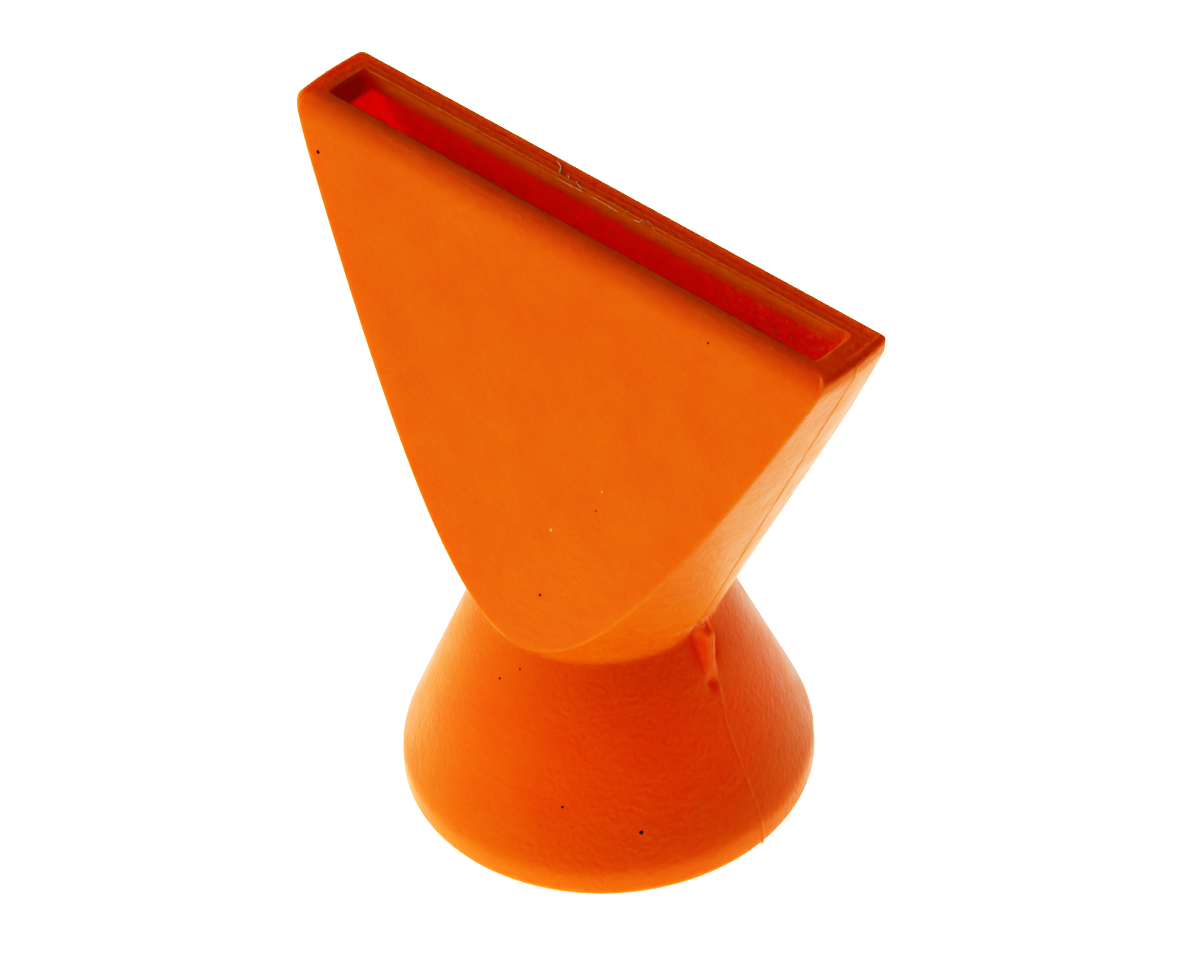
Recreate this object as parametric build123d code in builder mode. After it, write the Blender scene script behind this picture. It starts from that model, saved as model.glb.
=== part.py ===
from build123d import *
import os
from math import radians, sqrt, tan

# A flat slot nozzle for ball-and-socket modular hose, moulded in one piece.
# Frame: +Z along the flow, from the socket's rim (z = 0) up to the slot;
# +X along the slot; the mould's parting plane is y = 0. Millimetres.

os.makedirs("parts", exist_ok=True)

# Outside: the socket skirt, a cone standing on a short upright band
rim_radius = 8.5
rim_rounding = 0.35
band_height = 1.2
band_blend = 0.8
neck_radius = 5.01
neck_height = 9.66

# Outside: the fan, a cone opening upwards that two flats pinch into the lip, and that
# turns upright in a narrow band at the top
total_height = 28.6
lip_length = 27.76
lip_band = 0.5
lip_thickness = 3.8
flat_angle = 9.5
edge_rounding = 0.28

# Inside: the seat that is pushed over a 12.7 mm hose ball, and the quarter-inch throat
opening_radius = 6.15
opening_land = 0.6
opening_lead_in = 0.4
seat_radius = 6.4
throat_radius = 3.175

# Inside: the fan chamber and the slot
chamber_foot_height = 9.0
slot_length = 25.3
slot_width = 1.9
slot_land_depth = 0.9

# The trimmed gate, a small block that bridges the neck groove on the +X side, beside the
# parting plane
gate_thickness = 0.6
gate_middle = 0.2
gate_outer_radius = 5.85
gate_top_height = 9.95

# Worked out from the above
skirt_slope = (rim_radius - neck_radius) / (neck_height - band_height)
fan_slope = (lip_length / 2 - neck_radius) / (total_height - lip_band - neck_height)
flat_slope = tan(radians(flat_angle))
land_top = opening_lead_in + opening_land
seat_height = land_top + sqrt(seat_radius**2 - opening_radius**2)
seat_end_height = seat_height + sqrt(seat_radius**2 - throat_radius**2)
gate_foot_height = neck_height - (gate_outer_radius - neck_radius) / skirt_slope
over = 1.0  # how far a cutting shape or a hidden root runs past the face that it crosses


def wedge_section(half_width, pinched_up_to, low, high):
    """Section across X of a body that two flats pinch up to a height, and leave straight above."""
    low_half_width = half_width + (pinched_up_to - low) * flat_slope
    right = [(low_half_width, low), (half_width, pinched_up_to), (half_width, high)]
    left = [(-y, z) for y, z in reversed(right)]
    return right + left


# The mould core that leaves the fan chamber and the slot: a cone between two flats,
# which stand parallel over the last stretch, the land behind the mouth
with BuildPart() as flow_core:
    with BuildSketch(Plane.XZ):
        with BuildLine():
            Polyline(
                (0, chamber_foot_height),
                (throat_radius, chamber_foot_height),
                (slot_length / 2, total_height),
                (slot_length / 2, total_height + over),
                (0, total_height + over),
                close=True,
            )
        make_face()
    revolve(axis=Axis.Z)
    with BuildSketch(Plane.YZ):
        with BuildLine():
            section = wedge_section(
                slot_width / 2,
                total_height - slot_land_depth,
                chamber_foot_height,
                total_height + over,
            )
            Polyline(*section, close=True)
        make_face()
    extrude(amount=lip_length, both=True, mode=Mode.INTERSECT)

# The mould core that leaves the ball seat and the throat
with BuildPart() as socket_core:
    with BuildSketch(Plane.XZ):
        with BuildLine():
            seat_start = (opening_radius, land_top)
            seat_crown = (seat_radius * sqrt(0.75), seat_height + seat_radius / 2)
            seat_end = (throat_radius, seat_end_height)
            Polyline(
                (0, -over),
                (opening_radius + opening_lead_in + over, -over),
                (opening_radius, opening_lead_in),
                seat_start,
            )
            ThreePointArc(seat_start, seat_crown, seat_end)
            Polyline(
                seat_end,
                (throat_radius, chamber_foot_height + over),
                (0, chamber_foot_height + over),
                (0, -over),
            )
        make_face()
    revolve(axis=Axis.Z)

with BuildPart() as nozzle_body:
    # the fan body, rooted a little way down inside the skirt
    with BuildSketch(Plane.XZ):
        with BuildLine():
            Polyline(
                (0, neck_height - over),
                (neck_radius - fan_slope * over, neck_height - over),
                (lip_length / 2, total_height - lip_band),
                (lip_length / 2, total_height),
                (0, total_height),
                close=True,
            )
        make_face()
    revolve(axis=Axis.Z)
    with BuildSketch(Plane.YZ):
        with BuildLine():
            section = wedge_section(
                lip_thickness / 2, total_height, neck_height - over, total_height + over
            )
            Polyline(*section, close=True)
        make_face()
    extrude(amount=lip_length, both=True, mode=Mode.INTERSECT)

    # its edges are eased, along both flats and round the lip
    flats = faces().filter_by(GeomType.PLANE).filter_by(lambda f: abs(f.normal_at().Y) > 0.5)
    curved_edges = flats.edges().filter_by(GeomType.LINE, reverse=True)
    lip_edges = faces().sort_by(Axis.Z)[-1].edges()
    fillet(curved_edges + lip_edges, radius=edge_rounding)

    # the socket skirt
    with BuildSketch(Plane.XZ):
        with BuildLine():
            Polyline(
                (0, 0),
                (rim_radius, 0),
                (rim_radius, band_height),
                (neck_radius, neck_height),
                (0, neck_height),
                close=True,
            )
        make_face()
        rim_corners = vertices().group_by(Axis.X)[-1].sort_by(Axis.Y)
        fillet(rim_corners[0], radius=rim_rounding)
        fillet(rim_corners[1], radius=band_blend)
    revolve(axis=Axis.Z)

    # the gate block
    with BuildSketch(Plane.XZ.offset(-gate_middle)):
        with BuildLine():
            Polyline(
                (throat_radius + over, gate_foot_height - over),
                (gate_outer_radius, gate_foot_height - over),
                (gate_outer_radius, gate_top_height),
                (throat_radius + over, gate_top_height),
                close=True,
            )
        make_face()
    extrude(amount=gate_thickness / 2, both=True)

    add(flow_core.part, mode=Mode.SUBTRACT)
    add(socket_core.part, mode=Mode.SUBTRACT)

nozzle_body.part.label = "nozzle_body"
export_step(nozzle_body.part, "parts/nozzle_body.step")
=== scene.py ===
from math import atan2, cos, pi, radians, sin, sqrt, tan

import bpy
import numpy as np
from mathutils import Matrix, Vector


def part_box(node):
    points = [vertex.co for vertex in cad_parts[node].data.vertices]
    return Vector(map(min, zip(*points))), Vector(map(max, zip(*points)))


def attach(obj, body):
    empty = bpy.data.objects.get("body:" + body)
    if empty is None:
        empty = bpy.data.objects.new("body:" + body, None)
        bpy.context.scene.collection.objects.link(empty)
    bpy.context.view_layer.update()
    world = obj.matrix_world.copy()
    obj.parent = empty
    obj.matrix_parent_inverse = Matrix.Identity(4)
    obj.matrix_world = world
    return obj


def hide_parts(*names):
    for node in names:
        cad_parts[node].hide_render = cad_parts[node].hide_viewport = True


# A flat slot nozzle for ball-and-socket hose, moulded in one piece from orange plastic.
# The frame is the CAD's: +Z from the socket's rim up to the slot, +X along the slot,
# and the mould's parting plane at y = 0. Lengths are in metres.

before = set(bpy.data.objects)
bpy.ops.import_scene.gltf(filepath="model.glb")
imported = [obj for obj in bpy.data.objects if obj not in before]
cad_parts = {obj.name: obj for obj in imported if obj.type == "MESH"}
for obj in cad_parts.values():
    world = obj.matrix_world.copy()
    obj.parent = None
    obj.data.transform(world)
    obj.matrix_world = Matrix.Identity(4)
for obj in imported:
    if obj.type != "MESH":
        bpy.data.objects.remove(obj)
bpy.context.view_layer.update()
MM = 0.001

# Outside
body_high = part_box("nozzle_body")[1]
HEIGHT = body_high.z
RIM_RADIUS = body_high.y
RIM_ROUNDING = 0.35 * MM
BAND_HEIGHT = 1.2 * MM
BAND_BLEND = 0.1 * MM
NECK_RADIUS = 5.01 * MM
NECK_HEIGHT = 9.66 * MM
NECK_FILLET = 0.07 * MM
LIP_RADIUS = 13.87 * MM
LIP_BAND = 0.5 * MM
LIP_HALF_WIDTH = 1.9 * MM
END_TRIM = 0.04 * MM
FLAT_SLOPE = tan(radians(9.5))
EDGE_ROUNDING = 0.28 * MM
WORN_CORNER = 0.45 * MM
FRONT_LIP_ROUNDING = 0.75 * MM
BACK_LIP_ROUNDING = 0.16 * MM
END_LIP_ROUNDING = 0.3 * MM

# Inside
OPENING_RADIUS = 6.15 * MM
LEAD_IN = 0.4 * MM
OPENING_LAND = 0.6 * MM
SEAT_RADIUS = 6.4 * MM
THROAT_RADIUS = 3.175 * MM
CHAMBER_FOOT = 9.0 * MM
MOUTH_RADIUS = 12.65 * MM
MOUTH_FRONT = 0.9 * MM
MOUTH_BACK = 1.05 * MM
MOUTH_CORNER = 0.12 * MM
MOUTH_EDGE = 0.07 * MM
LAND_DEPTH = 0.75 * MM
LAND_BURR = 0.03 * MM
LAND_STEP = 0.04 * MM
# Notches in the land's lower edge, at the back: place along x, reach and depth in mm
LAND_NOTCHES = ((-2.1, 0.5, 0.23), (2.7, 0.45, 0.2))

# Moulding marks
GATE_RADIUS = 5.85 * MM
GATE_TOP = 9.95 * MM
GATE_MIDDLE = 0.2 * MM
GATE_HALF_WIDTH = 0.3 * MM
GATE_FACE_HALF_WIDTH = 0.14 * MM
GATE_SLANT = 0.15
GATE_SIDE_FALL = 0.45
GATE_BLEND_ABOVE, GATE_BLEND_BELOW = 0.7 * MM, 0.2 * MM
# What the cutter left round the gate block, a dimple below it, a groove beside it and a scar on
# the fan's foot: depth, then middle and reach along y, then middle and reach along z, in mm
CUTTER_MARKS = (
    (0.15, 0.05, 0.4, 7.45, 0.5),
    (0.1, 0.7, 0.25, 8.6, 1.3),
    (0.06, -0.3, 0.5, 10.5, 0.5),
)
RIDGE_HEIGHT = 0.05 * MM
RIDGE_HALF_WIDTH = 0.085 * MM
RIDGE_STRAY = 0.3 * MM
LIP_HOLLOW = 0.045 * MM

# Worked out from the above
SKIRT_SLOPE = (RIM_RADIUS - NECK_RADIUS) / (NECK_HEIGHT - BAND_HEIGHT)
FAN_SLOPE = (LIP_RADIUS - NECK_RADIUS) / (HEIGHT - LIP_BAND - NECK_HEIGHT)
FLAT_FOOT = (LIP_HALF_WIDTH + HEIGHT * FLAT_SLOPE - NECK_RADIUS + FAN_SLOPE * NECK_HEIGHT) / (
    FAN_SLOPE + FLAT_SLOPE
)
CHAMBER_SLOPE = (MOUTH_RADIUS - THROAT_RADIUS) / (HEIGHT - CHAMBER_FOOT)

# ---------------------------------------------------------------------------
# The mesh: rings of columns. Each quarter of a ring is an end arc, a corner and a flat.

ARC, CORNER, FLAT = 20, 8, 58
QUARTER = ARC + CORNER + FLAT
# The end arc's first columns stand at these distances from the parting plane, so that the
# ridge and the gate block have crisp sides. Where the arc is short they close up.
NEAR = np.array([0, 0.045, 0.09, 0.15, 0.25, 0.35, 0.435, 0.465, 0.55, 0.7, 0.9]) * MM
NEAR_ROOM = 1.5 * MM

# The outer rings, upwards: runs of even steps, as lowest and highest in mm and how many. They
# are closest round the gate.
RING_RUNS = ((0.45, 0.75, 3), (0.85, 2.3, 14), (2.5, 6.6, 18), (6.7, 10.1, 52), (10.2, 11.4, 12))
RIM_RINGS = 9
FAN_RINGS, FAN_RINGS_START = 48, 11.6 * MM
LIP_ROUNDING_RINGS = 10
# Across the lip's top: how far along, and the share of the hollow's depth there. A low rib
# divides the hollow lengthwise.
LIP_TOP = (
    (0.06, 0.4),
    (0.16, 1),
    (0.4, 1),
    (0.5, 0.5),
    (0.6, 1),
    (0.85, 1),
    (0.95, 0.5),
    (1, 0.3),
)
LAND_RINGS, CHAMBER_RINGS, SEAT_RINGS = 9, 33, 28


def columns():
    """Each column's place in its quarter, from 0 at the long axis, and the quarter's signs."""
    up = np.arange(QUARTER)
    down = np.arange(QUARTER, 0, -1)
    place = np.concatenate([up, down, up, down])
    sign_x = np.repeat([1, -1, -1, 1], QUARTER)
    sign_y = np.repeat([1, 1, -1, -1], QUARTER)
    return place, sign_x, sign_y


PLACE, SIGN_X, SIGN_Y = columns()


def arc_angle(r, arc_end):
    """Each column's angle in the end arc: at set distances from the parting plane, then even."""
    reach = arc_end * r
    closed_up = np.minimum(1, reach / NEAR_ROOM)
    near = np.interp(PLACE, np.arange(len(NEAR)), NEAR) * closed_up
    last = NEAR[-1] * closed_up
    even = last + (reach - last) * (PLACE - len(NEAR) + 1) / (ARC - len(NEAR) + 1)
    return np.where(PLACE < len(NEAR), near, even) / r


def section(radius, half_width, corner, cap):
    """One ring's x, y and outward normal: a circle pinched between two flats, its corners rounded.

    Where the flats don't reach the circle it stays round, and cap is the angle at which the
    columns of the flat begin.
    """
    given = (radius, half_width, corner, cap)
    r, w, rho, cap = (np.broadcast_to(v, PLACE.shape).astype(float) for v in given)
    pinched = w < r
    centre_x = np.sqrt(np.maximum(0, (r - rho) ** 2 - (w - rho) ** 2))
    arc_end = np.where(pinched, np.arctan2(w - rho, centre_x), cap)

    angle = arc_angle(r, arc_end)
    x, y, nx, ny = r * np.cos(angle), r * np.sin(angle), np.cos(angle), np.sin(angle)

    # the corner
    t = np.clip((PLACE - ARC) / CORNER, 0, 1)
    round_step = np.minimum(0.06, (pi / 2 - arc_end) * 0.3)
    angle = arc_end + t * np.where(pinched, pi / 2 - arc_end, round_step)
    turn_r = np.where(pinched, rho, r)
    in_corner = PLACE > ARC
    x = np.where(in_corner, np.where(pinched, centre_x, 0) + turn_r * np.cos(angle), x)
    y = np.where(in_corner, np.where(pinched, w - rho, 0) + turn_r * np.sin(angle), y)
    nx = np.where(in_corner, np.cos(angle), nx)
    ny = np.where(in_corner, np.sin(angle), ny)

    # the flat
    t = np.clip((PLACE - ARC - CORNER) / FLAT, 0, 1)
    round_angle = arc_end + round_step + t * (pi / 2 - arc_end - round_step)
    in_flat = PLACE > ARC + CORNER
    x = np.where(in_flat, np.where(pinched, centre_x * (1 - t), r * np.cos(round_angle)), x)
    y = np.where(in_flat, np.where(pinched, w, r * np.sin(round_angle)), y)
    nx = np.where(in_flat, np.where(pinched, 0, np.cos(round_angle)), nx)
    ny = np.where(in_flat, np.where(pinched, 1, np.sin(round_angle)), ny)
    return SIGN_X * x, SIGN_Y * y, SIGN_X * nx, SIGN_Y * ny


def ease(low, high, v):
    """Smooth step from 0 at low to 1 at high."""
    t = np.clip((v - low) / (high - low), 0, 1)
    return t * t * (3 - 2 * t)


def hump(v, middle, reach):
    """A smooth hump of height 1 at middle, down to 0 at reach from it."""
    return 1 - ease(0, reach, np.abs(v - middle))


def skirt_radius(z):
    """The skirt's profile: an upright band, softly blended into a cone."""
    cone = RIM_RADIUS - (z - BAND_HEIGHT) * SKIRT_SLOPE
    radius = (RIM_RADIUS + cone - np.sqrt((RIM_RADIUS - cone) ** 2 + BAND_BLEND**2)) / 2
    foot = np.clip(RIM_ROUNDING - z, 0, RIM_ROUNDING)
    return radius - RIM_ROUNDING + np.sqrt(RIM_ROUNDING**2 - foot**2)


def fan_radius(z):
    """The fan's cone, which turns upright in a short band below the lip. Its -X end is trimmed."""
    cone = NECK_RADIUS + (z - NECK_HEIGHT) * FAN_SLOPE
    radius = (LIP_RADIUS + cone - np.sqrt((LIP_RADIUS - cone) ** 2 + BAND_BLEND**2)) / 2
    return radius - END_TRIM * ease(27 * MM, HEIGHT, z) * (SIGN_X < 0)


def fan_half_width(z):
    return LIP_HALF_WIDTH + (HEIGHT - z) * FLAT_SLOPE


def outside(z, inset=0.0):
    """The outer ring at height z, moved in by inset. Both may differ from column to column."""
    skirt, fan = skirt_radius(z), fan_radius(z)
    r = (skirt + fan + np.sqrt((skirt - fan) ** 2 + NECK_FILLET**2)) / 2
    w = np.where(z > FLAT_FOOT, np.minimum(fan_half_width(z), r), r)
    # the flat's columns spread over the skirt, and gather towards the flat at the neck
    cap = radians(45) + radians(35) * ease(6 * MM, 9.5 * MM, z)
    worn = ease(26 * MM, HEIGHT, z) * (SIGN_X < 0)
    rho = EDGE_ROUNDING + (WORN_CORNER - EDGE_ROUNDING) * worn
    rho = np.maximum(rho - inset * 0.6, 0.05 * MM)
    return section(r - inset, w - inset, rho, cap)


def inside(z):
    """The fan chamber's ring at height z, up to the land behind the mouth."""
    r = THROAT_RADIUS + (z - CHAMBER_FOOT) * CHAMBER_SLOPE
    mouth = np.where(SIGN_Y > 0, MOUTH_BACK, MOUTH_FRONT)
    w = mouth + np.maximum(0, HEIGHT - LAND_DEPTH - z) * FLAT_SLOPE
    return section(r, w, np.where(w < r, MOUTH_CORNER * 2, 0), radians(80))


def land_depth():
    """The land's depth for each column. Its lower edge wanders and has soft notches at the back."""
    x = inside(HEIGHT)[0] / MM
    less = 0.02 * np.sin(x * 1.3) + 0.015 * np.sin(x * 3.1 + 1)
    for middle, reach, depth in LAND_NOTCHES:
        less = less + depth * hump(x, middle, reach)
    return LAND_DEPTH - less * MM * (SIGN_Y > 0)


def lip_rounding():
    """The lip's outer rounding for each column: soft in front, crisp at the back."""
    ny = outside(np.full(PLACE.shape, HEIGHT))[3]
    softer = (FRONT_LIP_ROUNDING - END_LIP_ROUNDING) * ease(0.2, 0.9, -ny)
    crisper = (BACK_LIP_ROUNDING - END_LIP_ROUNDING) * ease(0.2, 0.9, ny)
    return END_LIP_ROUNDING + softer + crisper


def ring(xy, z):
    x, y = xy[0], xy[1]
    return np.stack([x, y, np.broadcast_to(z, x.shape)], axis=1)


def pushed(xy, z, amount):
    """A ring moved along its outward normals."""
    x, y, nx, ny = xy
    return ring((x + nx * amount, y + ny * amount), z)


def ridge(xy, z):
    """The parting line: a low ridge along both ends and down the skirt.

    On the +X side it strays from the parting plane round the cutter's dimple, where it is
    strongest, and ends in a nib at the rim. On the -X side it is a little lower below the lip.
    """
    right = SIGN_X > 0
    strays = RIDGE_STRAY * ease(5.4 * MM, 7.4 * MM, z) * (z < 9 * MM) * right
    half_width = RIDGE_HALF_WIDTH + strays * 0.2
    shape = np.clip(1 - np.abs(xy[1] - strays) / half_width, 0, 1)
    strength = 0.8 + 0.2 * np.sin(z / MM * 2.1 + 0.7 * SIGN_X) * np.sin(z / MM * 0.9)
    strength = strength + 0.15 * ease(8 * MM, 6 * MM, z) * right
    strength = strength + 1.1 * hump(z, 7.5 * MM, 1.6 * MM) * right
    strength = strength + 1.6 * hump(z, 0, 0.35 * MM) * right
    lower = (RIDGE_HEIGHT - END_TRIM) * hump(z, 28.1 * MM, 0.45 * MM) * (SIGN_X < 0)
    return (RIDGE_HEIGHT * strength - lower) * shape * (PLACE < ARC)


def gate_marks(xy, z):
    """How far the cutter's marks are sunk, as a negative push."""
    cut = 0
    for depth, y, y_reach, middle, z_reach in CUTTER_MARKS:
        across = hump(xy[1], y * MM, y_reach * MM)
        cut = cut + depth * MM * across * hump(z, middle * MM, z_reach * MM)
    return -cut * (SIGN_X > 0) * (PLACE < ARC)


def gate(xy, z, amount):
    """Distance from the surface, pushed out by amount, to the gate block, for the columns on it.

    The block's face slants, its sides fall away and its top runs out on the fan's foot.
    """
    beside = xy[1] - GATE_MIDDLE
    on_block = (np.abs(beside) < GATE_HALF_WIDTH) & (SIGN_X > 0) & (PLACE < ARC)
    face = GATE_RADIUS - GATE_SLANT * (GATE_HALF_WIDTH - beside)
    sides = 1 - GATE_SIDE_FALL * ease(GATE_FACE_HALF_WIDTH, GATE_HALF_WIDTH, np.abs(beside))
    top = ease(GATE_TOP + GATE_BLEND_ABOVE, GATE_TOP - GATE_BLEND_BELOW, z)
    return np.where(on_block, np.maximum(0, face - xy[0] - amount) * top * sides, 0)


def outer_rings():
    rim = RIM_ROUNDING * (1 - np.cos(np.linspace(0, pi / 2, RIM_RINGS)))
    runs = [np.linspace(low, high, count) * MM for low, high, count in RING_RUNS]
    fan = np.linspace(FAN_RINGS_START, HEIGHT - FRONT_LIP_ROUNDING, FAN_RINGS)
    rings = []
    for z in np.concatenate([rim, *runs, fan]):
        xy = outside(z)
        bump = ridge(xy, z) + gate_marks(xy, z)
        bump = bump + gate(xy, z, bump)
        rings.append(pushed(xy, z, bump))
    return rings


def lip_rings():
    """Over the lip: its outer rounding, the slightly hollow top and the rounded mouth edge."""
    rounding = lip_rounding()
    rings = []
    for t in np.linspace(0, 1, LIP_ROUNDING_RINGS + 1)[1:]:
        angle = t * pi / 2
        z = HEIGHT - rounding * (1 - sin(angle))
        xy = outside(z, rounding * (1 - cos(angle)))
        rings.append(pushed(xy, z, ridge(xy, HEIGHT) * (1 - t)))
    outer = rings[-1]
    mouth_width = np.where(SIGN_Y > 0, MOUTH_BACK, MOUTH_FRONT)
    hollow = LIP_HOLLOW * ease(-1.2 * MM, 0.8 * MM, outer[:, 1])
    mouth_xy = section(MOUTH_RADIUS, mouth_width, MOUTH_CORNER, 1.0)
    mouth = pushed(mouth_xy, HEIGHT, MOUTH_EDGE)
    for t, depth in LIP_TOP:
        across = outer * (1 - t) + mouth * t
        across[:, 2] = HEIGHT - hollow * depth
        rings.append(across)
    for t in (0.25, 0.5, 0.75, 1):
        angle = t * pi / 2
        z = HEIGHT - hollow * LIP_TOP[-1][1] - MOUTH_EDGE * (1 - cos(angle))
        rings.append(pushed(mouth_xy, z, MOUTH_EDGE * (1 - sin(angle))))
    return rings


def chamber_rings():
    """Down the land, over the small burr at its foot, and down the fan chamber."""
    foot = HEIGHT - land_depth()
    rings = []
    for t in np.linspace(0.15, 1, LAND_RINGS):
        z = HEIGHT + (foot - HEIGHT) * t
        rings.append(pushed(inside(z), z, -LAND_BURR * (t == 1)))
    for t in np.linspace(0, 1, CHAMBER_RINGS + 1)[1:] ** 1.25:
        z = foot - LAND_STEP + (CHAMBER_FOOT - foot + LAND_STEP) * t
        rings.append(ring(inside(z), z))
    return rings


def socket_rings():
    """The throat, the ball seat, the opening and the rim's face."""
    seat_height = LEAD_IN + OPENING_LAND + sqrt(SEAT_RADIUS**2 - OPENING_RADIUS**2)
    top_angle = atan2(sqrt(SEAT_RADIUS**2 - THROAT_RADIUS**2), THROAT_RADIUS)
    low_angle = -atan2(seat_height - LEAD_IN - OPENING_LAND, OPENING_RADIUS)
    throat_middle = (CHAMBER_FOOT + seat_height + SEAT_RADIUS * sin(top_angle)) / 2
    profile = [(THROAT_RADIUS, throat_middle)]
    for angle in np.linspace(top_angle, low_angle, SEAT_RINGS):
        profile.append((SEAT_RADIUS * cos(angle), seat_height + SEAT_RADIUS * sin(angle)))
    profile.append((OPENING_RADIUS, LEAD_IN + OPENING_LAND * 0.5))
    profile.append((OPENING_RADIUS, LEAD_IN))
    profile.append((OPENING_RADIUS + LEAD_IN, 0))
    profile.append(((OPENING_RADIUS + LEAD_IN + RIM_RADIUS) / 2, 0))
    return [ring(section(r, 1, 0, radians(50)), z) for r, z in profile]


def new_object(name, points, faces):
    mesh = bpy.data.meshes.new(name)
    mesh.from_pydata([tuple(p) for p in points], [], faces)
    mesh.validate()
    mesh.shade_smooth()
    obj = bpy.data.objects.new(name, mesh)
    bpy.context.collection.objects.link(obj)
    return obj


def mesh_from_rings(name, rings):
    """A closed mesh whose last ring joins its first."""
    count = len(PLACE)
    points = np.concatenate(rings)
    faces = []
    for i in range(len(rings)):
        here = i * count
        there = (i + 1) % len(rings) * count
        for j in range(count):
            k = (j + 1) % count
            faces.append((here + j, here + k, there + k, there + j))
    return new_object(name, points, faces)


nozzle_rings = outer_rings() + lip_rings() + chamber_rings() + socket_rings()
nozzle = mesh_from_rings("nozzle", nozzle_rings)

# Thin strands of burr, cut loose at the mouth's back edge. Each is a line of points: x, y and
# the depth below the lip's top, in mm.
STRAND_RADIUS = 0.03 * MM
STRANDS = (
    ((-2.85, 1.68, 0), (-2.45, 1.5, 0), (-2.2, 1.15, 0), (-2.35, 1.03, 0.35)),
    (
        (-2.35, 1.02, 0.2),
        (-2.0, 1.02, 0.16),
        (-1.6, 1.03, 0.18),
        (-1.2, 1.02, 0.14),
        (-0.75, 1.03, 0.15),
    ),
    ((-1.9, 1.27, 0), (-1.75, 1.2, 0), (-1.65, 1.06, 0.03)),
    ((-1.42, 1.22, 0), (-1.2, 1.1, 0), (-0.9, 1.06, 0.05)),
    ((-0.55, 1.03, 0.16), (0.13, 1.02, 0.12), (0.6, 1.03, 0.18), (1.0, 1.02, 0.16)),
    ((1.25, 1.03, 0.08), (1.35, 1.1, 0), (1.4, 1.2, 0)),
    ((1.7, 1.02, 0.14), (2.05, 1.03, 0.12), (2.12, 1.1, 0), (2.37, 1.03, 0.12)),
    ((2.26, 1.18, 0), (2.6, 1.12, 0), (2.85, 1.03, 0.1)),
)
STRAND_SIDES = 6


def strand_line(points):
    """A smooth line through the points, in metres, resting on the hollow of the lip's top."""
    points = np.array(points) * MM
    points[:, 2] = HEIGHT - STRAND_RADIUS * 1.15 - points[:, 2]
    steps = np.arange(0, len(points) - 0.99, 0.125)
    line = np.stack([np.interp(steps, np.arange(len(points)), p) for p in points.T], axis=1)
    for _ in range(3):
        line[1:-1] = (line[:-2] + 2 * line[1:-1] + line[2:]) / 4
    return line


def tube(line, radius, sides):
    """Points and faces of a tube along a line, which tapers to both ends."""
    ahead = np.gradient(line, axis=0)
    ahead /= np.linalg.norm(ahead, axis=1, keepdims=True)
    side = np.cross(ahead, (0, 0, 1))
    side /= np.linalg.norm(side, axis=1, keepdims=True)
    over = np.cross(side, ahead)
    along = np.linspace(0, 1, len(line))
    thick = radius * np.clip(np.minimum(along, 1 - along) * 8, 0.25, 1)
    points, faces = [], []
    for i in range(len(line)):
        for j in range(sides):
            angle = 2 * pi * j / sides
            points.append(line[i] + thick[i] * (cos(angle) * side[i] + sin(angle) * over[i]))
    for i in range(len(line) - 1):
        for j in range(sides):
            k = (j + 1) % sides
            a, b = i * sides, (i + 1) * sides
            faces.append((a + j, a + k, b + k, b + j))
    last = (len(line) - 1) * sides
    faces.append(tuple(range(sides))[::-1])
    faces.append(tuple(range(last, last + sides)))
    return points, faces


burr_points, burr_faces = [], []
for strand in STRANDS:
    points, faces = tube(strand_line(strand), STRAND_RADIUS, STRAND_SIDES)
    start = len(burr_points)
    burr_points += points
    burr_faces += [tuple(start + corner for corner in face) for face in faces]
burr = new_object("lip_burr", burr_points, burr_faces)

# ---------------------------------------------------------------------------
# Nodes


def new_material(name):
    material = bpy.data.materials.new(name)
    material.use_nodes = True
    return material, material.node_tree, material.node_tree.nodes["Principled BSDF"]


def math_node(tree, operation, *values):
    """A math node whose inputs are sockets or numbers. Returns its result."""
    new = tree.nodes.new("ShaderNodeMath")
    new.operation = operation
    for socket, value in zip(new.inputs, values):
        if isinstance(value, (int, float)):
            socket.default_value = value
        else:
            tree.links.new(value, socket)
    return new.outputs[0]


def times(tree, first, *rest):
    for value in rest:
        first = math_node(tree, "MULTIPLY", first, value)
    return first


def total(tree, first, *rest):
    for value in rest:
        first = math_node(tree, "ADD", first, value)
    return first


def vector_node(tree, operation, vector, other=None):
    """A vector math node on a socket and, for some operations, a fixed vector."""
    new = tree.nodes.new("ShaderNodeVectorMath")
    new.operation = operation
    tree.links.new(vector, new.inputs[0])
    if other is not None:
        new.inputs[1].default_value = other
    return new


def split(tree, vector):
    """A vector's x, y and z."""
    apart = tree.nodes.new("ShaderNodeSeparateXYZ")
    tree.links.new(vector, apart.inputs[0])
    return apart.outputs


def step_node(tree, value, low, high, low_result=0.0, high_result=1.0):
    """A smooth step of value, from low_result at low to high_result at high."""
    new = tree.nodes.new("ShaderNodeMapRange")
    new.interpolation_type = "SMOOTHSTEP"
    tree.links.new(value, new.inputs["Value"])
    new.inputs["From Min"].default_value = low
    new.inputs["From Max"].default_value = high
    new.inputs["To Min"].default_value = low_result
    new.inputs["To Max"].default_value = high_result
    return new.outputs["Result"]


def mix_node(tree, factor, first, second):
    """A colour or vector that goes from first to second as factor goes from 0 to 1."""
    new = tree.nodes.new("ShaderNodeMix")
    new.data_type = "RGBA"
    tree.links.new(factor, new.inputs["Factor"])
    for socket, value in zip((new.inputs[6], new.inputs[7]), (first, second)):
        if isinstance(value, tuple):
            socket.default_value = value
        else:
            tree.links.new(value, socket)
    return new.outputs[2]


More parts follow.
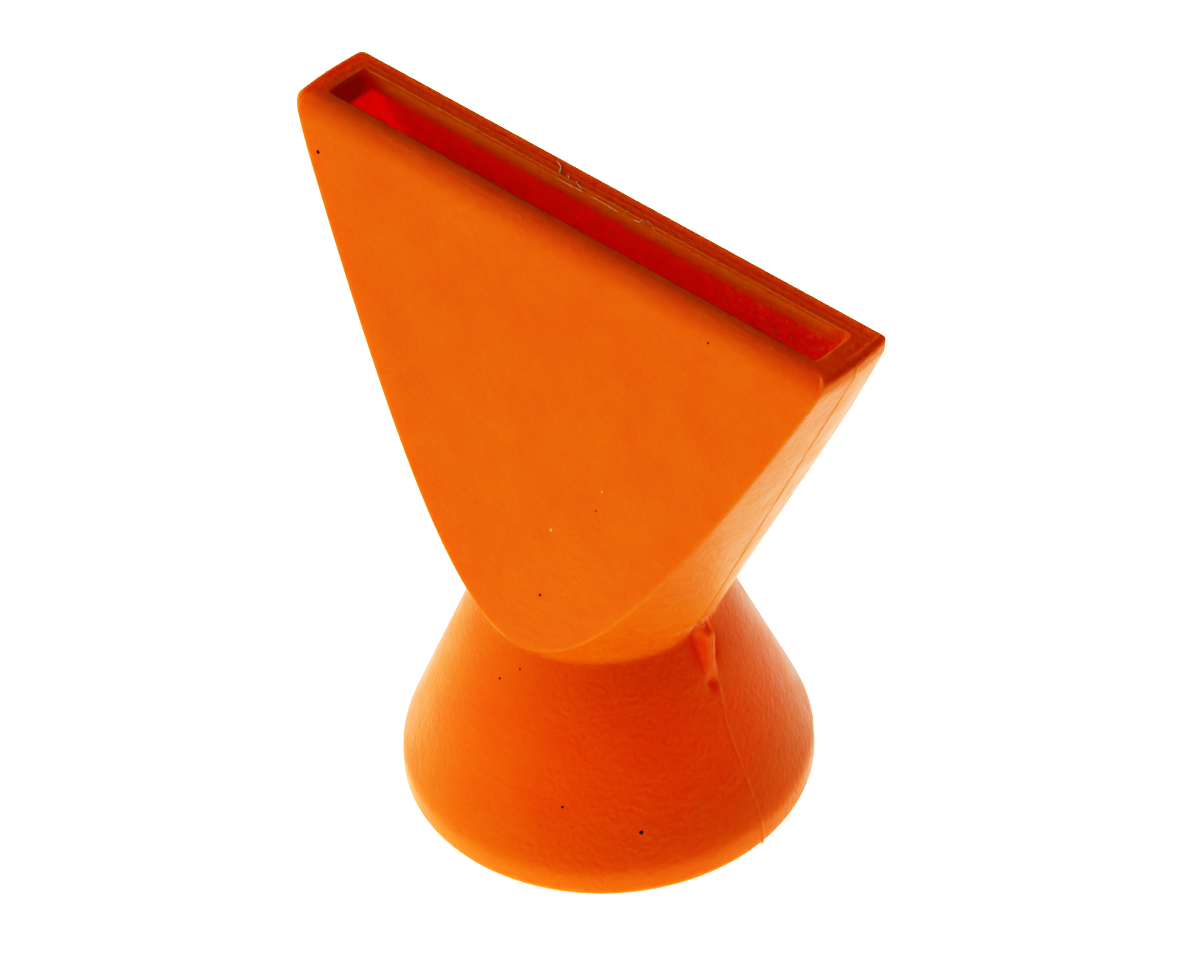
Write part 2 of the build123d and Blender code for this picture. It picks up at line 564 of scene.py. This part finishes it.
def noise_node(tree, place, scale, detail, stretch=(1, 1, 1)):
    """A noise from about 0.2 to 0.8, with features 1/scale metres across."""
    new = tree.nodes.new("ShaderNodeTexNoise")
    new.inputs["Scale"].default_value = scale
    new.inputs["Detail"].default_value = detail
    tree.links.new(vector_node(tree, "MULTIPLY", place, stretch).outputs[0], new.inputs["Vector"])
    return new.outputs[0]


def spots_node(tree, place, spots):
    """1 inside any of the spots, 0 elsewhere. Each spot is x, y, z and radius in mm."""
    shown = 0.0
    for x, y, z, radius in spots:
        away = vector_node(tree, "DISTANCE", place, (x * MM, y * MM, z * MM)).outputs["Value"]
        spot = step_node(tree, away, radius * 0.7 * MM, radius * 1.2 * MM, 1.0, 0.0)
        shown = math_node(tree, "MAXIMUM", shown, spot)
    return shown


# ---------------------------------------------------------------------------
# The plastic: its colours, and the specks, chips and painted shade on it, as x, y, z and radius in
# mm

ORANGE = (0.98, 0.225, 0.004, 1)
ORANGE_CLOUD = (0.98, 0.245, 0.004, 1)
# painted light: a paler orange on the land, standing in for the light it catches from the front
LAND_PAINTED_LIGHT = (0.98, 0.5, 0.02, 1)
STREAK_ORANGE = (0.98, 0.36, 0.02, 1)
# painted glow: a brighter red in the chamber, standing in for light glowing through its walls
CHAMBER_GLOW_RED = (0.995, 0.235, 0.004, 1)
# painted shade: a darker red round the gate block and its groove, where they lie in shade
PAINTED_SHADE_RED = (0.95, 0.1, 0.001, 1)
SPECK_DARK = (0.04, 0.006, 0.001, 1)
SPECK_PALE = (0.98, 0.5, 0.2, 1)
# painted glints: pale flecks standing in for light catching the coarse wall at the chamber's +X end
PAINTED_GLINT_PALE = (0.99, 0.7, 0.3, 1)
CHIP_PALE = (0.98, 0.42, 0.2, 1)

# How far light travels under the surface, in mm for red, green and blue
REACH_OUTSIDE = (1.05, 0.85, 0.05, 1)
REACH_LAND = (2.2, 0.85, 0.05, 1)
REACH_CHAMBER = (5.5, 0.85, 0.05, 1)

DARK_SPECKS = (
    (-12.14, -2.23, 26.63, 0.085),
    (1.14, -4.58, 12.61, 0.065),
    (3.61, -3.7, 17.87, 0.04),
    (8.28, -2.03, 27.81, 0.05),
    (-0.31, -5.67, 8.0, 0.06),
    (0.53, -5.34, 8.78, 0.045),
    (3.6, -6.46, 3.88, 0.055),
    (6.24, -4.72, 2.85, 0.085),
    (11.84, -0.31, 24.19, 0.06),
    (10.5, -2.81, 22.1, 0.05),
)
PALE_SPECKS = ((1.42, -4.04, 15.84, 0.07), (3.82, -3.53, 18.86, 0.045), (-10.6, -1.98, 28.15, 0.05))
CHIPS = (
    (5.55, 0.05, 10.45, 0.3),
    (5.4, -0.35, 10.4, 0.35),
    (5.4, -0.75, 10.55, 0.3),
    (5.35, -1.1, 10.65, 0.2),
)
# Painted shade round the gate block, where the block shades the skirt beside and below it
GATE_PAINTED_SHADE = ((5.6, 0.3, 8.8, 0.95),)

# Heights of the relief
GRAIN = 0.05 * MM
RIPPLES = 0.02 * MM
SCRATCHES = 0.025 * MM
ERODED = 0.2 * MM


def plastic_masks(tree, place):
    """Where things are: in the chamber, on the lip's top, on the land, at the eroded end."""
    x_place, y_place, z_place = split(tree, place)
    x_away = math_node(tree, "ABSOLUTE", x_place)
    y_away = math_node(tree, "ABSOLUTE", y_place)
    from_top = math_node(tree, "SUBTRACT", HEIGHT, z_place)

    # how far a point is inside the middle of the wall: above 0 in the chamber and the slot
    mid_width = (LIP_HALF_WIDTH + MOUTH_BACK) / 2
    mid_width = math_node(tree, "MULTIPLY_ADD", from_top, FLAT_SLOPE, mid_width)
    mid_radius = (LIP_RADIUS + MOUTH_RADIUS) / 2
    mid_radius = math_node(tree, "MULTIPLY_ADD", from_top, -FAN_SLOPE, mid_radius)
    across = math_node(tree, "SUBTRACT", mid_width, y_away)
    flat_place = vector_node(tree, "MULTIPLY", place, (1, 1, 0)).outputs[0]
    from_axis = vector_node(tree, "LENGTH", flat_place).outputs["Value"]
    along = math_node(tree, "SUBTRACT", mid_radius, from_axis)
    below_land = math_node(tree, "SUBTRACT", from_top, LAND_DEPTH - 0.1 * MM)
    depth = math_node(tree, "MINIMUM", math_node(tree, "MINIMUM", across, along), below_land)
    above_foot = math_node(tree, "SUBTRACT", z_place, CHAMBER_FOOT)
    depth = math_node(tree, "MINIMUM", depth, above_foot)
    in_chamber = step_node(tree, depth, 0.05 * MM, 0.3 * MM)

    near_lip = step_node(tree, from_top, 1.1 * MM, 0.3 * MM)
    off_flats = step_node(tree, y_away, LIP_HALF_WIDTH - 0.1 * MM, LIP_HALF_WIDTH - 0.4 * MM)
    off_ends = step_node(tree, x_away, LIP_RADIUS - 0.15 * MM, LIP_RADIUS - 0.4 * MM)
    on_lip = times(tree, off_flats, off_ends, near_lip)
    below_edge = step_node(tree, from_top, 0.1 * MM, 0.2 * MM)
    in_wall = step_node(tree, across, 0.1 * MM, 0.3 * MM)
    off_mouth_ends = step_node(tree, x_away, MOUTH_RADIUS - 0.3 * MM, MOUTH_RADIUS - 1.5 * MM)
    on_land = times(tree, on_lip, below_edge, in_wall, off_mouth_ends)
    eroded_end = times(tree, in_chamber, step_node(tree, x_place, 3 * MM, 9 * MM))
    rippled = step_node(tree, z_place, NECK_HEIGHT, NECK_HEIGHT - 1.5 * MM)
    rippled = times(tree, rippled, step_node(tree, x_place, -3 * MM, 5 * MM, 0.4, 1.0))
    scratched = step_node(tree, from_top, 2.6 * MM, 0.5 * MM)
    return in_chamber, on_lip, on_land, eroded_end, rippled, scratched


def moulded_plastic():
    """Translucent plastic: clouded, specked, streaked along the lip where the mould dragged, with
    painted light on the land, a painted glow in the chamber, painted shade round the gate block and
    painted glints at the chamber's +X end.
    """
    material, tree, shader = new_material("moulded_orange_plastic")
    place = tree.nodes.new("ShaderNodeTexCoord").outputs["Object"]
    masks = plastic_masks(tree, place)
    in_chamber, on_lip, on_land, eroded_end, rippled, scratched = masks
    streaks = noise_node(tree, place, 500, 3, (1, 18, 18))
    coarse = noise_node(tree, place, 3300, 1)

    clouds = step_node(tree, noise_node(tree, place, 350, 3), 0.3, 0.7)
    streaked = times(tree, step_node(tree, streaks, 0.5, 0.68), on_lip)
    # painted shade round the gate block
    painted_shade = spots_node(tree, place, GATE_PAINTED_SHADE)
    # painted glints where the coarse texture peaks at the chamber's +X end
    painted_glints = times(tree, step_node(tree, coarse, 0.55, 0.64), eroded_end)
    chipped = step_node(tree, noise_node(tree, place, 5000, 2), 0.45, 0.6)
    base = mix_node(tree, clouds, ORANGE, ORANGE_CLOUD)
    for factor, colour in (
        # painted light on the land
        (times(tree, on_land, 0.8), LAND_PAINTED_LIGHT),
        (times(tree, streaked, 0.4), STREAK_ORANGE),
        # painted glow in the chamber
        (in_chamber, CHAMBER_GLOW_RED),
        # painted shade round the gate block
        (times(tree, painted_shade, 0.4), PAINTED_SHADE_RED),
        (spots_node(tree, place, DARK_SPECKS), SPECK_DARK),
        (spots_node(tree, place, PALE_SPECKS), SPECK_PALE),
        # painted glints at the chamber's +X end
        (times(tree, painted_glints, 0.6), PAINTED_GLINT_PALE),
        (times(tree, spots_node(tree, place, CHIPS), chipped), CHIP_PALE),
    ):
        base = mix_node(tree, factor, base, colour)
    reach = mix_node(tree, on_land, REACH_OUTSIDE, REACH_LAND)
    reach = mix_node(tree, in_chamber, reach, REACH_CHAMBER)
    tree.links.new(base, shader.inputs["Base Color"])
    tree.links.new(reach, shader.inputs["Subsurface Radius"])

    # relief: a fine spark-eroded grain, ripples on the skirt, scratches along the lip and a
    # coarse texture at the chamber's +X end
    relief = total(
        tree,
        times(tree, noise_node(tree, place, 4000, 3), GRAIN),
        times(tree, noise_node(tree, place, 1700, 2, (1, 1, 2)), RIPPLES, rippled),
        times(tree, streaks, SCRATCHES, scratched),
        times(tree, coarse, ERODED, eroded_end),
    )
    bump = tree.nodes.new("ShaderNodeBump")
    bump.inputs["Distance"].default_value = 1.0
    tree.links.new(relief, bump.inputs["Height"])
    tree.links.new(bump.outputs[0], shader.inputs["Normal"])

    rough = step_node(tree, noise_node(tree, place, 900, 2), 0.3, 0.7, 0.32, 0.4)
    tree.links.new(rough, shader.inputs["Roughness"])
    shader.inputs["IOR"].default_value = 1.48
    shader.inputs["Specular IOR Level"].default_value = 0.22
    shader.inputs["Subsurface Weight"].default_value = 1.0
    shader.inputs["Subsurface Scale"].default_value = 1 * MM
    return material


def strand_plastic():
    """The same plastic stretched thin and pale."""
    material, tree, shader = new_material("stretched_plastic_strand")
    place = tree.nodes.new("ShaderNodeTexCoord").outputs["Object"]
    stretched = step_node(tree, noise_node(tree, place, 2500, 2), 0.3, 0.7)
    base = mix_node(tree, stretched, (0.95, 0.5, 0.22, 1), (0.97, 0.8, 0.6, 1))
    tree.links.new(base, shader.inputs["Base Color"])
    rough = step_node(tree, noise_node(tree, place, 6000, 2), 0.3, 0.7, 0.3, 0.55)
    tree.links.new(rough, shader.inputs["Roughness"])
    shader.inputs["Subsurface Weight"].default_value = 0.5
    shader.inputs["Subsurface Radius"].default_value = (1.0, 0.6, 0.3)
    shader.inputs["Subsurface Scale"].default_value = 0.1 * MM
    return material


nozzle.data.materials.append(moulded_plastic())
burr.data.materials.append(strand_plastic())
for piece in (nozzle, burr):
    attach(piece, "root")
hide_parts("nozzle_body")

# ---------------------------------------------------------------------------
# Floor and light: a bright table, a large soft light to the left of the camera, and a dark
# room elsewhere. To the camera, the table and the backdrop are plain white.

FLOOR_HALF_SIZE = 0.5
KEY_AZIMUTH = radians(-147)
KEY_STRENGTH = 1.45
CEILING_STRENGTH = 0.26
WHITE = 1.2


def white_to_camera(tree, strength, socket):
    """Feeds a strength to a socket, raised to plain white in what the camera sees directly."""
    seen = tree.nodes.new("ShaderNodeLightPath").outputs["Is Camera Ray"]
    strength = math_node(tree, "MAXIMUM", strength, times(tree, seen, WHITE))
    tree.links.new(strength, socket)


def glowing_table():
    """Brighter towards the back, a little towards -X, and in a pool round the object's foot."""
    material, tree, shader = new_material("floor")
    tree.nodes.remove(shader)
    glow = tree.nodes.new("ShaderNodeEmission")
    place = tree.nodes.new("ShaderNodeNewGeometry").outputs["Position"]
    x_place, y_place, _ = split(tree, place)
    away = vector_node(tree, "LENGTH", place).outputs["Value"]
    strength = total(
        tree,
        step_node(tree, y_place, 0.0, 0.04, 0.85, 1.55),
        step_node(tree, away, 0.01, 0.03, 0.46, 0.0),
        step_node(tree, x_place, 0.0, -0.03, 0.0, 0.05),
    )
    white_to_camera(tree, strength, glow.inputs["Strength"])
    tree.links.new(glow.outputs[0], tree.nodes["Material Output"].inputs["Surface"])
    return material


def studio_world():
    world = bpy.data.worlds.new("studio")
    world.use_nodes = True
    tree = world.node_tree
    sky = tree.nodes["Background"]
    sky.inputs["Color"].default_value = (1, 1, 1, 1)
    direction = tree.nodes.new("ShaderNodeTexCoord").outputs["Generated"]
    key_direction = (cos(KEY_AZIMUTH), sin(KEY_AZIMUTH), 0)
    toward_key = vector_node(tree, "DOT_PRODUCT", direction, key_direction).outputs["Value"]
    upward = split(tree, direction)["Z"]
    low_down = step_node(tree, upward, 0.5, 1.0, 1.0, 0.2)
    key = times(tree, step_node(tree, toward_key, 0.0, 1.0, 0.0, KEY_STRENGTH), low_down)
    ceiling = step_node(tree, upward, 0.5, 1.0, 0.0, CEILING_STRENGTH)
    white_to_camera(tree, math_node(tree, "MAXIMUM", key, ceiling), sky.inputs["Strength"])
    return world


floor_corners = np.array([(-1, -1, 0), (1, -1, 0), (1, 1, 0), (-1, 1, 0)]) * FLOOR_HALF_SIZE
floor = new_object("floor", floor_corners, [(0, 1, 2, 3)])
floor.data.materials.append(glowing_table())
bpy.context.scene.world = studio_world()

# The camera's contrast: a soft toe that keeps dim colours deep, and a shoulder
TOE_POWER, SHOULDER = 2.3, 0.15
settings = bpy.context.scene.view_settings
settings.view_transform = "Standard"
settings.use_curve_mapping = True
curve = settings.curve_mapping.curves[3]
for light in (0.06, 0.12, 0.2, 0.3, 0.42, 0.56, 0.72, 0.86):
    lifted = light**TOE_POWER
    curve.points.new(light, lifted * (1 + SHOULDER) / (lifted + SHOULDER))
settings.curve_mapping.update()

# The camera stands well back, 45 degrees round from the front and 41 degrees up
AZIMUTH, ELEVATION, ROLL = radians(44.763), radians(41.393), radians(-2.964)
DISTANCE = 0.22995
TARGET = Vector((0, 0, 0.01486))
back = Vector((sin(AZIMUTH) * cos(ELEVATION), -cos(AZIMUTH) * cos(ELEVATION), sin(ELEVATION)))
level = Vector((cos(AZIMUTH), sin(AZIMUTH), 0))
above = back.cross(level)
right = level * cos(ROLL) + above * sin(ROLL)
up = above * cos(ROLL) - level * sin(ROLL)
camera_data = bpy.data.cameras.new("camera")
camera_data.lens = 174.09
camera_data.sensor_width = 36
camera_data.shift_x = 0.0038
camera = bpy.data.objects.new("camera", camera_data)
turn = Matrix((right, up, back)).transposed().to_4x4()
camera.matrix_world = Matrix.Translation(TARGET + back * DISTANCE) @ turn
bpy.context.collection.objects.link(camera)
bpy.context.scene.camera = camera
